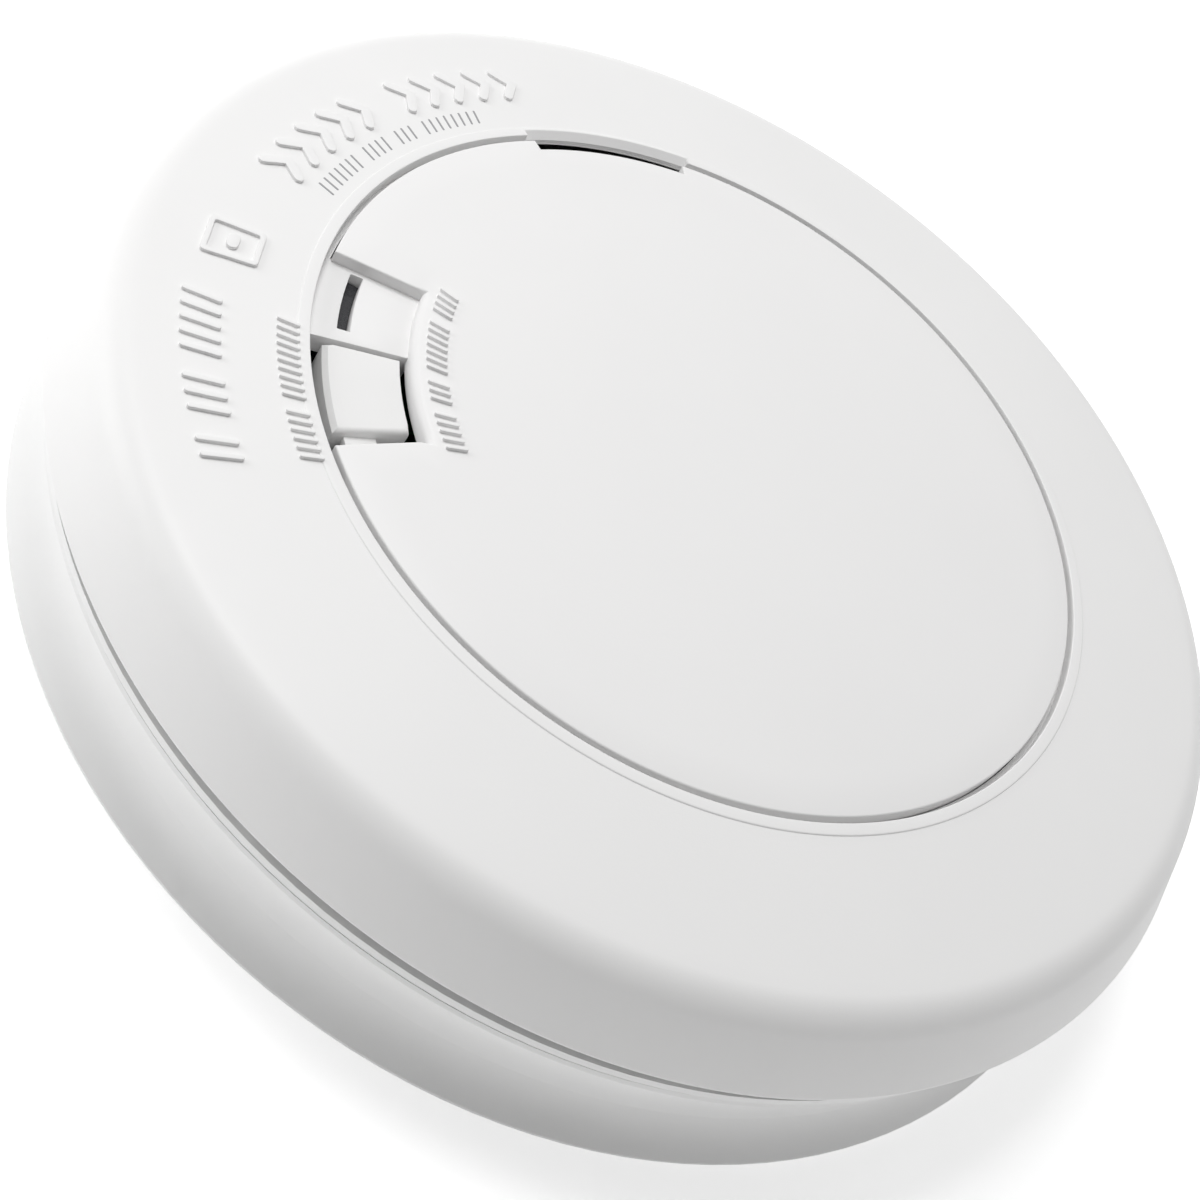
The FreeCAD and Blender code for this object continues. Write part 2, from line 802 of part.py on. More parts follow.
def circuit_board():
    solid = disc(board_radius, board_bottom, board_top)
    near = battery_rows()[0]
    x = cradle_ends() + cradle_wall + cell_gap
    edge = near + cell_radius + cradle_wall + cradle_clear
    solid = solid.cut(box(-x, x, -body_radius, edge, 0, body_height))
    for angle in cover_screw_angles:
        p = polar(post_place, angle)
        solid = solid.cut(disc(post_radius + 2 * loose_gap, 0, body_height, (p.x, p.y)))
    for angle in board_screw_angles:
        p = polar(board_screw_place, angle)
        solid = solid.cut(disc(board_screw_radius + part_gap, 0, body_height, (p.x, p.y)))
    for p in co_pin_places():
        solid = solid.cut(disc(co_pin_radius + part_gap, 0, body_height, (p.x, p.y)))
    return solid


def crossed_slot(p, slot, z0, z1):
    length, half = slot[0], slot[1]
    along = box(p.x - length, p.x + length, p.y - half, p.y + half, z0, z1)
    return along.fuse(box(p.x - half, p.x + half, p.y - length, p.y + length, z0, z1))


def board_screws():
    screws = []
    top = board_top + board_screw_head_height
    for angle in board_screw_angles:
        p = polar(board_screw_place, angle)
        head = disc(board_screw_head, board_top, top, (p.x, p.y))
        slot = crossed_slot(p, board_screw_slot, top - board_screw_slot[2], top + overcut)
        shank = disc(board_screw_radius, floor_top + board_screw_tip, board_top + part_gap, (p.x, p.y))
        screws.append(head.fuse(shank).cut(slot).removeSplitter())
    return Part.makeCompound(screws)


def cover_screws():
    screws = []
    seat = floor_top + post_height - cover_screw_grip
    low = seat - cover_screw_head_height
    tip = seat + cover_screw_grip + cover_screw_bite
    for angle in cover_screw_angles:
        p = polar(post_place, angle)
        head = disc(cover_screw_head, low, seat, (p.x, p.y))
        slot = crossed_slot(p, cover_screw_slot, low - overcut, low + cover_screw_slot[2])
        shank = disc(cover_screw_radius, seat - part_gap, tip, (p.x, p.y))
        screws.append(head.fuse(shank).cut(slot).removeSplitter())
    return Part.makeCompound(screws)


def optic_level():
    return board_top + chamber_floor + optic_height


def chamber_base():
    inner, outer, half = optic_block
    pieces = [disc(chamber_radius, board_top, board_top + chamber_floor)]
    for angle in optic_angles:
        pieces.append(radial_box(inner, outer, angle, half, board_top, optic_level() + half))
    solid = fused(pieces)
    mouth = optic_span[0] - optic_lens
    bore = optic_radius + fit_gap
    for angle in optic_angles:
        solid = solid.cut(radial_rod(mouth - part_gap, outer + overcut, angle, optic_level(), bore))
        solid = solid.cut(radial_rod(inner - overcut, mouth, angle, optic_level(), optic_bore))
    return solid


def optic(angle):
    start, end = optic_span
    body = radial_rod(start, end, angle, optic_level(), optic_radius)
    lens = Part.makeSphere(optic_lens, polar(start, angle, optic_level()))
    lens = lens.common(radial_rod(start - optic_lens, start + loose_gap, angle, optic_level(), optic_radius))
    return body.fuse(lens).removeSplitter()


def chamber_cover():
    low = board_top + chamber_floor + part_gap
    top = board_top + chamber_height
    inner, outer = vane_span
    pieces = [disc(chamber_radius, top, top + chamber_roof)]
    vane = fused([
        box(inner, outer, -vane_half, vane_half, low, top + bite),
        box(inner, inner + vane_hook[0], -vane_half, vane_hook[1], low, top + bite)])
    for k in range(vane_count):
        pieces.append(turned(vane, k * 360.0 / vane_count))
    return fused(pieces)


def insect_screen():
    inner, outer = screen_span
    low = board_top + chamber_floor
    return ring(chamber_radius - inner, chamber_radius - outer, low, board_top + chamber_height)


def chamber_pad():
    top = board_top + chamber_height + chamber_roof
    return ring(pad_span[0], pad_span[1], top, top + pad_thickness)


def horn_place():
    return (0.0, horn_centre_y)


def horn_housing():
    r = horn_radius
    c = horn_place()
    top = board_top + horn_height
    inward, ledge_low, ledge_top = horn_ledge
    solid = fused([
        ring(r - horn_wall, r, board_top, top, c),
        disc(r, top - horn_roof, top, c),
        ring(piezo_radius - inward, r, board_top + ledge_low, board_top + ledge_top, c)])
    duct = duct_block(top - horn_roof, seat_bottom - seal_thickness)
    inner, outer, a0, a1 = horn_port
    return fused([solid, duct]).cut(sector(inner, outer, a0, a1, top - 2 * horn_roof, body_height))


def duct_block(z0, z1):
    inner, outer, a0, a1 = horn_port
    return sector(inner - duct_wall, outer + duct_wall, a0 - duct_turn, a1 + duct_turn, z0, z1)


def horn_seal():
    inner, outer, a0, a1 = horn_port
    frame = duct_block(seat_bottom - seal_thickness, seat_bottom)
    return frame.cut(sector(inner, outer, a0, a1, 0, body_height))


def piezo_level():
    return board_top + horn_ledge[2]


def piezo_disc():
    return disc(piezo_radius, piezo_level(), piezo_level() + piezo_thickness, horn_place())


def piezo_ceramic():
    return disc(ceramic_radius, piezo_level() - ceramic_thickness, piezo_level(), horn_place())


def horn_springs():
    # three bent contact strips, pressed against the disc and its ceramic face
    x, y = horn_place()
    springs = []
    far = spring_reach
    back = far - spring_thickness
    for dx, angle, on_ceramic in spring_places:
        top = piezo_level() - (ceramic_thickness if on_ceramic else 0)
        foot = box(0, far, -spring_half, spring_half, board_top, board_top + spring_thickness)
        rise = box(back, far, -spring_half, spring_half, board_top, top)
        arm = box(far - spring_arm, far, -spring_half, spring_half, top - spring_thickness, top)
        strip = turned(fused([foot, rise, arm]), angle)
        strip.translate(V(x + dx, y, 0))
        springs.append(strip)
    return Part.makeCompound(springs)


def co_pin_places():
    x, y = co_place
    pins = [polar(co_pin_circle, angle) for angle in (30, 150, 270)]
    return [V(x + p.x, y + p.y, 0) for p in pins]


def co_body():
    low = board_top + co_stand
    wall = ring(co_bore, co_radius, low, low + co_height, co_place)
    return wall.fuse(disc(co_bore, low, board_top + co_height, co_place)).removeSplitter()


def co_cap():
    z0 = board_top + co_stand + co_height
    cap = disc(co_radius - co_cap_step, z0, z0 + co_cap_height, co_place)
    return cap.cut(disc(co_inlet, z0 - overcut, z0 + co_cap_height + overcut, co_place))


def co_pins():
    pins = [disc(co_pin_radius, board_bottom - co_pin_tail, board_top + co_stand, (p.x, p.y))
            for p in co_pin_places()]
    return Part.makeCompound(pins)


def microcontroller():
    x, y = chip_place
    half = chip_size / 2
    half_width, root, toe, height = chip_lead
    pieces = [box(x - half, x + half, y - half, y + half, board_top + part_gap, board_top + chip_height)]
    for k in range(chip_leads):
        along = (k - (chip_leads - 1) / 2) * chip_pitch
        lead = box(along - half_width, along + half_width, root, toe, board_top, board_top + height)
        for quarter in (0, 90, 180, 270):
            pin = turned(lead, quarter)
            pin.translate(V(x, y, 0))
            pieces.append(pin)
    return fused(pieces)


def boost_inductor():
    low, high, top = inductor_levels
    return fused([
        disc(inductor_flange, board_top, board_top + low, inductor_place),
        disc(inductor_core, board_top, board_top + top, inductor_place),
        disc(inductor_flange, board_top + high, board_top + top, inductor_place)])


def inductor_winding():
    low, high = inductor_levels[:2]
    return ring(inductor_core, inductor_wire, board_top + low, board_top + high, inductor_place)


def capacitors():
    inner, outer, low, high = capacitor_groove
    cans = []
    for centre in capacitor_places:
        can = disc(capacitor_radius, board_top, board_top + capacitor_height, centre)
        cans.append(can.cut(ring(inner, outer, board_top + low, board_top + high, centre)))
    return Part.makeCompound(cans)


def chip_parts():
    columns, rows = chip_part_grid
    length, width, height = chip_part_size
    p = polar(post_place, cover_screw_angles[-1])
    chips = []
    for column in range(columns):
        for row in range(rows):
            x = chip_part_first[0] + chip_part_pitch[0] * column
            y = chip_part_first[1] - chip_part_pitch[1] * row
            clear = math.hypot(x - p.x, y - p.y) > chip_part_clear
            if clear and math.hypot(x, y) < board_radius - length:
                chips.append(box(x, x + length, y, y + width, board_top, board_top + height))
    return Part.makeCompound(chips)


def power_slider():
    half = math.degrees(power_half_length / power_radius)
    z0 = floor_top + part_gap
    inner = power_radius - power_half_width
    outer = power_radius + power_half_width
    solid = sector(inner, outer, power_angle - half, power_angle + half, z0, z0 + power_height)
    p = polar(power_radius, power_angle)
    well = floor_top + power_post_rise + moving_gap
    return solid.cut(disc(power_post_radius + fit_gap, 0, well, (p.x, p.y)))


def stop_slider():
    x, y = stop_place
    half_x, half_y, height = stop_plate
    nub_x, nub_y = stop_nub
    cut_x, cut_y, depth = stop_groove
    plate = box(x - half_x, x + half_x, y - half_y, y + half_y, floor_top + part_gap, floor_top + height)
    nub = box(x - nub_x, x + nub_x, y - nub_y, y + nub_y, floor_bottom + 2 * part_gap, floor_top + bite)
    groove = box(x - cut_x, x + cut_x, y - cut_y, y + cut_y, floor_bottom, floor_bottom + depth)
    return fused([plate, nub]).cut(groove)


def build():
    os.makedirs("parts", exist_ok=True)
    save("mounting_bracket", mounting_bracket())
    save("rear_housing", rear_housing())
    save("back_label", back_label())
    save("front_cover", front_cover())
    save("centre_panel", centre_panel())
    save("test_button", test_button())
    save("switch_body", switch_body())
    save("switch_plunger", switch_plunger())
    save("light_pipe", light_pipe())
    save("status_leds", status_leds())
    save("battery_cells", battery_cells())
    save("battery_cradle", battery_cradle())
    save("battery_tabs", battery_tabs())
    save("circuit_board", circuit_board())
    save("board_screws", board_screws())
    save("cover_screws", cover_screws())
    save("smoke_chamber_base", chamber_base())
    save("smoke_chamber_cover", chamber_cover())
    save("insect_screen", insect_screen())
    save("chamber_pad", chamber_pad())
    save("infrared_emitter", optic(optic_angles[0]))
    save("photodiode", optic(optic_angles[1]))
    save("horn_housing", horn_housing())
    save("horn_seal", horn_seal())
    save("piezo_disc", piezo_disc())
    save("piezo_ceramic", piezo_ceramic())
    save("horn_springs", horn_springs())
    save("co_sensor_body", co_body())
    save("co_sensor_cap", co_cap())
    save("co_sensor_pins", co_pins())
    save("microcontroller", microcontroller())
    save("boost_inductor", boost_inductor())
    save("inductor_winding", inductor_winding())
    save("electrolytic_capacitors", capacitors())
    save("chip_parts", chip_parts())
    save("power_slider", power_slider())
    save("deactivation_slider", stop_slider())


build()
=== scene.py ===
import json
import math
import bpy
import bmesh
from mathutils import Matrix, Vector
from mathutils.geometry import delaunay_2d_cdt


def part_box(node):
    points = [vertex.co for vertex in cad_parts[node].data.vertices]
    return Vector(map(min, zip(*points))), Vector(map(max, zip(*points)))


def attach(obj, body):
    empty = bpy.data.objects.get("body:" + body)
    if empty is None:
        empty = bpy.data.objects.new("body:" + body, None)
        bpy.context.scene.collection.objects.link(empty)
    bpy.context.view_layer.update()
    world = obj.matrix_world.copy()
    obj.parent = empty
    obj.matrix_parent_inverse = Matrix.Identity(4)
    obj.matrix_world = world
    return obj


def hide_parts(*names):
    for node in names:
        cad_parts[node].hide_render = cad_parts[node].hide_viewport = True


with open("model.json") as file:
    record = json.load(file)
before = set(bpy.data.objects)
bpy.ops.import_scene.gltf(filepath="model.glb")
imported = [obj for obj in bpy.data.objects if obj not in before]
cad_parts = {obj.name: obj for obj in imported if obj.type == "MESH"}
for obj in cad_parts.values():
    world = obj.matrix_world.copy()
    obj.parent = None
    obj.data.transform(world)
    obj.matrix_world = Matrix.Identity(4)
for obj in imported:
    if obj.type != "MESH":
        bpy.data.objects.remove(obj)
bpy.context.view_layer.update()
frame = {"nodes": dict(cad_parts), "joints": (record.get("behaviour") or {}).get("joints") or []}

mm = 0.001
scene = bpy.context.scene
scene.view_settings.view_transform = "Standard"


# the view
viewSet = {
    "place": (-0.13141, -0.13349, 0.18298),
    "facing": (0.50365, 0.51079, -0.69673),
    "roll": 37.84,
    "lens": 66.0,
}


def makeCamera():
    facing = Vector(viewSet["facing"]).normalized()
    level = facing.cross(Vector((0, 0, 1))).normalized()
    upright = level.cross(facing)
    roll = math.radians(viewSet["roll"])
    right = level * math.cos(roll) + upright * math.sin(roll)
    up = upright * math.cos(roll) - level * math.sin(roll)
    data = bpy.data.cameras.new("view")
    data.sensor_width = 36.0
    data.lens = viewSet["lens"]
    data.clip_start = 0.005
    camera = bpy.data.objects.new("view", data)
    turn = Matrix((right, up, -facing)).transposed().to_4x4()
    camera.matrix_world = Matrix.Translation(viewSet["place"]) @ turn
    scene.collection.objects.link(camera)
    scene.camera = camera


# shader helpers
class Wire:
    # one socket of a node tree, so that shader maths reads as arithmetic
    def __init__(self, shader, socket):
        self.shader = shader
        self.socket = socket

    def math(self, operation, other, flip=False):
        pair = (other, self) if flip else (self, other)
        return self.shader.node("ShaderNodeMath", {"operation": operation}, {0: pair[0], 1: pair[1]})

    def __add__(self, other):
        return self.math("ADD", other)

    def __radd__(self, other):
        return self.math("ADD", other, True)

    def __mul__(self, other):
        return self.math("MULTIPLY", other)

    def __rmul__(self, other):
        return self.math("MULTIPLY", other, True)


class Shader:
    def __init__(self, name):
        self.material = bpy.data.materials.new(name)
        self.material.use_nodes = True
        self.tree = self.material.node_tree
        self.tree.nodes.clear()
        self.output = self.tree.nodes.new("ShaderNodeOutputMaterial")
        self.surface = self.tree.nodes.new("ShaderNodeBsdfPrincipled")
        self.tree.links.new(self.surface.outputs["BSDF"], self.output.inputs["Surface"])

    def node(self, kind, settings=None, sockets=None, out=0):
        item = self.tree.nodes.new(kind)
        for key, value in (settings or {}).items():
            if key == "stops":
                ramp = item.color_ramp.elements
                while len(ramp) < len(value):
                    ramp.new(0.5)
                for stop, (place, tone) in zip(ramp, value):
                    stop.position = place
                    stop.color = tone if len(tone) == 4 else (*tone, 1.0)
            else:
                setattr(item, key, value)
        for key, value in (sockets or {}).items():
            if isinstance(value, Wire):
                self.tree.links.new(value.socket, item.inputs[key])
            else:
                item.inputs[key].default_value = value
        return Wire(self, item.outputs[out])

    def set(self, **values):
        # names are the shader's own, with _ for a space
        for key, value in values.items():
            socket = self.surface.inputs[key.replace("_", " ")]
            if isinstance(value, Wire):
                self.tree.links.new(value.socket, socket)
            else:
                socket.default_value = value

    def place(self):
        return self.node("ShaderNodeTexCoord", out=3)

    def noise(self, scale, detail=3.0, rough=0.55, where=None):
        links = {"Scale": scale, "Detail": detail, "Roughness": rough, "Vector": where or self.place()}
        return self.node("ShaderNodeTexNoise", {}, links)

    def cells(self, scale):
        return self.node("ShaderNodeTexVoronoi", {}, {"Scale": scale, "Vector": self.place()})

    def axes(self):
        split = self.node("ShaderNodeSeparateXYZ", {}, {0: self.place()}).socket.node
        return [Wire(self, socket) for socket in split.outputs]

    def blend(self, factor, first, second):
        mix = self.tree.nodes.new("ShaderNodeMix")
        mix.data_type = "RGBA"
        for socket, value in ((mix.inputs[0], factor), (mix.inputs[6], first), (mix.inputs[7], second)):
            if isinstance(value, Wire):
                self.tree.links.new(value.socket, socket)
            else:
                socket.default_value = value if isinstance(value, float) else (*value, 1.0)
        return Wire(self, mix.outputs[2])

    def bump(self, height, strength, distance):
        links = {"Height": height, "Strength": strength, "Distance": distance}
        return self.node("ShaderNodeBump", {}, links)


# materials
plasticSet = {
    "tone": (0.845, 0.842, 0.838),
    "shade": (0.800, 0.797, 0.795),
    "rough": 0.36,
    "grain": 0.00003,
}


def whitePlastic(name, tone=None, shade=None, rough=None, grain=1.0):
    # satin moulded plastic: a fine spark-etched grain over slow cloudy changes of tone
    s = Shader(name)
    cloud = s.noise(28.0, 4.0)
    etch = s.noise(5200.0, 2.0, 0.6)
    fleck = s.cells(2600.0)
    s.set(Base_Color=s.blend(cloud, tone or plasticSet["tone"], shade or plasticSet["shade"]))
    base = rough or plasticSet["rough"]
    s.set(Roughness=base + 0.10 * s.noise(160.0, 3.0) + 0.05 * etch)
    s.set(Normal=s.bump(0.7 * etch + 0.3 * fleck, 0.22, plasticSet["grain"] * grain))
    s.set(Specular_IOR_Level=0.42, IOR=1.49)
    return s.material


def colouredPlastic(name, tone, rough=0.45, grain=40.0, depth=0.00002):
    s = Shader(name)
    cloud = s.noise(grain * 4, 4.0)
    darker = tuple(0.78 * c for c in tone)
    s.set(Base_Color=s.blend(cloud, tone, darker))
    s.set(Roughness=rough + 0.12 * s.noise(grain * 20))
    s.set(Normal=s.bump(s.noise(4000.0, 2.0), 0.3, depth))
    return s.material


def metal(name, tone, rough=0.3, stretch=(1.0, 1.0, 30.0)):
    # drawn or rolled metal, its grain pulled out along one direction
    s = Shader(name)
    pulled = s.node("ShaderNodeMapping", {}, {"Vector": s.place(), "Scale": stretch})
    grain = s.noise(600.0, 4.0, 0.6, pulled)
    darker = tuple(0.7 * c for c in tone)
    s.set(Base_Color=s.blend(grain, tone, darker), Metallic=1.0)
    s.set(Roughness=rough + 0.18 * grain)
    s.set(Normal=s.bump(grain, 0.25, 0.00002))
    return s.material


def clearPlastic(name, tone, rough=0.12):
    s = Shader(name)
    s.set(Base_Color=s.blend(s.noise(90.0), tone, tuple(0.8 * c for c in tone)))
    s.set(Roughness=rough + 0.08 * s.noise(400.0))
    s.set(Normal=s.bump(s.noise(900.0), 0.1, 0.00002))
    s.set(Transmission_Weight=0.6, IOR=1.49)
    return s.material


def boardLaminate(name):
    # green resist with copper pads showing as lighter dots under it
    s = Shader(name)
    padStops = [(0.18, (1, 1, 1)), (0.24, (0, 0, 0))]
    pad = s.node("ShaderNodeValToRGB", {"stops": padStops}, {"Fac": s.cells(420.0)})
    resist = s.blend(s.noise(60.0), (0.012, 0.11, 0.045), (0.02, 0.16, 0.06))
    s.set(Base_Color=s.blend(pad, resist, (0.05, 0.30, 0.12)))
    s.set(Roughness=0.28 + 0.15 * s.noise(300.0))
    s.set(Normal=s.bump(pad, 0.3, 0.00003))
    return s.material


def foam(name, tone):
    s = Shader(name)
    pores = s.cells(1500.0)
    s.set(Base_Color=s.blend(pores, tuple(0.5 * c for c in tone), tone))
    s.set(Roughness=0.85 + 0.1 * pores)
    s.set(Normal=s.bump(pores, 0.6, 0.0001))
    return s.material


def wireMesh(name):
    # woven screen: two crossed sets of fine wires read from height and angle
    s = Shader(name)
    x, y, z = s.axes()
    angle = s.node("ShaderNodeMath", {"operation": "ARCTAN2"}, {0: y, 1: x})
    warp = s.node("ShaderNodeMath", {"operation": "SINE"}, {0: angle * 180.0})
    weft = s.node("ShaderNodeMath", {"operation": "SINE"}, {0: z * 9000.0})
    weave = 0.5 + 0.25 * warp + 0.25 * weft
    s.set(Base_Color=s.blend(weave, (0.10, 0.10, 0.10), (0.62, 0.62, 0.60)), Metallic=1.0)
    s.set(Roughness=0.3 + 0.2 * weave)
    s.set(Normal=s.bump(weave, 0.6, 0.0001))
    return s.material


def labelPaper(name):
    # blank label: plain grey rules only
    s = Shader(name)
    y = s.axes()[1]
    wave = s.node("ShaderNodeMath", {"operation": "SINE"}, {0: y * 2100.0})
    rule = s.node("ShaderNodeMath", {"operation": "GREATER_THAN"}, {0: wave, 1: 0.86})
    paper = s.blend(s.noise(300.0), (0.80, 0.80, 0.78), (0.86, 0.86, 0.84))
    s.set(Base_Color=s.blend(rule, paper, (0.35, 0.36, 0.37)))
    s.set(Roughness=0.55 + 0.1 * s.noise(800.0))
    s.set(Normal=s.bump(s.noise(2500.0), 0.2, 0.00002))
    return s.material


def windingWire(name, tone):
    s = Shader(name)
    z = s.axes()[2]
    turns = s.node("ShaderNodeMath", {"operation": "SINE"}, {0: z * 16000.0})
    lay = 0.5 + 0.5 * turns
    s.set(Base_Color=s.blend(lay, tuple(0.5 * c for c in tone), tone), Metallic=0.8)
    s.set(Roughness=0.25 + 0.2 * lay)
    s.set(Normal=s.bump(lay, 0.6, 0.0001))
    return s.material


print("stage: materials")
coverPlastic = whitePlastic("cover plastic")
panelPlastic = whitePlastic("panel plastic", (0.842, 0.838, 0.835), (0.805, 0.801, 0.800))
buttonPlastic = whitePlastic("button plastic", (0.835, 0.832, 0.828), (0.800, 0.797, 0.792), 0.40, 1.4)
bracketPlastic = whitePlastic("bracket plastic", (0.845, 0.845, 0.842), (0.80, 0.80, 0.797), 0.40, 1.2)
housingPlastic = whitePlastic("housing plastic", (0.835, 0.835, 0.832), (0.79, 0.79, 0.787), 0.42, 1.6)
blackPlastic = colouredPlastic("black plastic", (0.022, 0.022, 0.023))
chamberBlack = colouredPlastic("chamber black", (0.012, 0.012, 0.012), 0.75, 60.0, 0.00006)
smokyPipe = clearPlastic("smoky light pipe", (0.10, 0.10, 0.11))
clearLens = clearPlastic("clear lens", (0.7, 0.75, 0.8), 0.06)
cellSleeve = colouredPlastic("cell sleeve", (0.05, 0.16, 0.34), 0.25, 25.0)
nickel = metal("nickel strip", (0.62, 0.60, 0.56), 0.28)
zincSteel = metal("zinc plated steel", (0.52, 0.53, 0.54), 0.32)
rolledBrass = metal("rolled brass", (0.78, 0.56, 0.22), 0.22, (30.0, 1.0, 1.0))
cappedCan = metal("capacitor can", (0.60, 0.61, 0.63), 0.24)
firedCeramic = colouredPlastic("fired ceramic", (0.72, 0.70, 0.64), 0.5, 90.0)
sensorGrey = colouredPlastic("sensor grey", (0.52, 0.52, 0.50), 0.5, 60.0)
sealFoam = foam("seal foam", (0.05, 0.05, 0.052))
screenWire = wireMesh("screen wire")
greenBoard = boardLaminate("green board")
blankLabel = labelPaper("blank label")
copperWinding = windingWire("copper winding", (0.72, 0.32, 0.13))
greyInk = colouredPlastic("grey ink", (0.36, 0.36, 0.37), 0.5, 200.0)

nodeLooks = {
    "battery_cells": cellSleeve, "battery_cradle": blackPlastic, "battery_tabs": nickel,
    "circuit_board": greenBoard, "board_screws": zincSteel, "cover_screws": zincSteel,
    "smoke_chamber_base": chamberBlack, "smoke_chamber_cover": chamberBlack, "insect_screen": screenWire,
    "chamber_pad": sealFoam, "infrared_emitter": clearLens, "photodiode": blackPlastic,
    "horn_housing": blackPlastic, "horn_seal": sealFoam, "piezo_disc": rolledBrass,
    "piezo_ceramic": firedCeramic, "horn_springs": nickel, "co_sensor_body": sensorGrey,
    "co_sensor_cap": sensorGrey, "co_sensor_pins": nickel, "microcontroller": blackPlastic,
    "boost_inductor": chamberBlack, "inductor_winding": copperWinding,
    "electrolytic_capacitors": cappedCan, "chip_parts": firedCeramic, "status_leds": clearLens,
    "light_pipe": smokyPipe, "switch_body": blackPlastic, "switch_plunger": blackPlastic,
    "power_slider": blackPlastic, "deactivation_slider": blackPlastic, "back_label": blankLabel,
    "rear_housing": housingPlastic, "mounting_bracket": bracketPlastic, "front_cover": coverPlastic,
    "centre_panel": panelPlastic, "test_button": buttonPlastic,
}
for nodeName, look in nodeLooks.items():
    slots = frame["nodes"][nodeName].data.materials
    slots.clear()
    slots.append(look)


# mesh helpers, in millimetres until the mesh is made
def softCorners(corners, steps=5):
    # closed outline of (x, y, softness): a soft corner becomes a short curve
    points = []
    for i, (x, y, soft) in enumerate(corners):
        corner = Vector((x, y))
        if soft <= 0:
            points.append((x, y))
            continue
        back = Vector(corners[i - 1][:2]) - corner
        ahead = Vector(corners[(i + 1) % len(corners)][:2]) - corner
        start = corner + back.normalized() * min(soft, 0.48 * back.length)
        end = corner + ahead.normalized() * min(soft, 0.48 * ahead.length)
        for k in range(steps + 1):
            u = k / steps
            p = start * (1 - u) ** 2 + corner * 2 * u * (1 - u) + end * u * u
            points.append((p.x, p.y))
    return points


def latheInto(bm, profileAt, angles):
    # turns an outline of (r, z) that may change with the angle; a full turn closes on itself
    rows = []
    for angle in angles:
        c, s = math.cos(math.radians(angle)), math.sin(math.radians(angle))
        rows.append([bm.verts.new((r * c * mm, r * s * mm, z * mm)) for r, z in profileAt(angle)])
    for i, row in enumerate(rows):
        after = rows[(i + 1) % len(rows)]
        for k in range(len(row)):
            n = (k + 1) % len(row)
            bm.faces.new((row[k], after[k], after[n], row[n]))


def wholeTurn(count, extra=()):
    angles = [360.0 * k / count for k in range(count)]
    return sorted(set(angles) | set(extra))


def shifted(loop, distance):
    # moves a closed outline to its left by a distance, or by one distance per point
    moved = []
    for i, (x, y) in enumerate(loop):
        p = Vector((x, y))
        before = (p - Vector(loop[i - 1])).normalized()
        after = (Vector(loop[(i + 1) % len(loop)]) - p).normalized()
        left = Vector((-before.y - after.y, before.x + after.x))
        d = distance[i] if isinstance(distance, list) else distance
        moved.append(tuple(p + left * d / max(0.35, 1 + before.dot(after))))
    return moved


def within(p, loop):
    # whether a point is inside a closed outline
    inside = False
    for (x0, y0), (x1, y1) in zip(loop, loop[1:] + loop[:1]):
        if (y0 > p.y) != (y1 > p.y) and p.x < x0 + (p.y - y0) * (x1 - x0) / (y1 - y0):
            inside = not inside
    return inside


def fillFace(bm, rings, heightAt, spots, up):
    # triangulates inside closed vertex rings, with extra spots for a curved face
    verts = [v for ring in rings for v in ring]
    flat = [Vector((v.co.x / mm, v.co.y / mm)) for v in verts]
    edges = []
    base = 0
    for ring in rings:
        n = len(ring)
        edges += [(base + i, base + (i + 1) % n) for i in range(n)]
        base += n
    points, _, faces, origins, _, _ = delaunay_2d_cdt(flat + [Vector(p) for p in spots], edges, [], 1, 1e-5)
    holes = [[(v.co.x / mm, v.co.y / mm) for v in ring] for ring in rings[1:]]
    made = []
    for p, origin in zip(points, origins):
        known = [i for i in origin if i < len(verts)]
        made.append(verts[known[0]] if known else bm.verts.new((p.x * mm, p.y * mm, heightAt(p.x, p.y) * mm)))
    for face in faces:
        corners = [made[i] for i in (face if up else reversed(face))]
        centre = sum((v.co for v in corners), Vector()) / mm / len(corners)
        if len(set(corners)) == 3 and not any(within(centre, hole) for hole in holes):
            bm.faces.new(corners)


def bridge(bm, lower, upper):
    for i in range(len(lower)):
        j = (i + 1) % len(lower)
        bm.faces.new((lower[i], lower[j], upper[j], upper[i]))


def slabInto(bm, loops, topAt, bottom, edge=0.2, spots=(), rim=None, skin=None, steps=4):
    # a moulded plate: eased top edge, straight sides, flat foot; with rim and skin it is hollow below
    # edge is one size or a function giving one per point, negative for a flat bevel
    # bottom is one height, or for a hollow plate a function giving one per point
    crowns, feet, unders = [], [], []
    for loop in loops:
        eases = edge(loop) if callable(edge) else [edge] * len(loop)
        last = None
        for k in range(steps + 1):
            u = k / steps
            turn = u * math.pi / 2
            insets = [-e * (1 - u) if e < 0 else e * (1 - math.sin(turn)) for e in eases]
            drops = [-e * u if e < 0 else e * (1 - math.cos(turn)) for e in eases]
            path = shifted(loop, insets)
            row = [bm.verts.new((x * mm, y * mm, (topAt(x, y) - d) * mm)) for (x, y), d in zip(path, drops)]
            if last:
                bridge(bm, row, last)
            else:
                crowns.append(row)
            last = row
        lows = [bottom(x, y) if callable(bottom) else bottom for x, y in loop]
        foot = [bm.verts.new((x * mm, y * mm, z * mm)) for (x, y), z in zip(loop, lows)]
        bridge(bm, foot, last)
        if rim:
            path = shifted(loop, rim)
            inner = [bm.verts.new((x * mm, y * mm, z * mm)) for (x, y), z in zip(path, lows)]
            under = [bm.verts.new((x * mm, y * mm, (topAt(x, y) - skin) * mm)) for x, y in path]
            bridge(bm, inner, foot)
            bridge(bm, under, inner)
            unders.append(under)
        else:
            feet.append(foot)
    fillFace(bm, crowns, topAt, spots, True)
    if rim:
        fillFace(bm, unders, lambda x, y: topAt(x, y) - skin, spots, False)
    else:
        fillFace(bm, feet, lambda x, y: bottom, (), False)


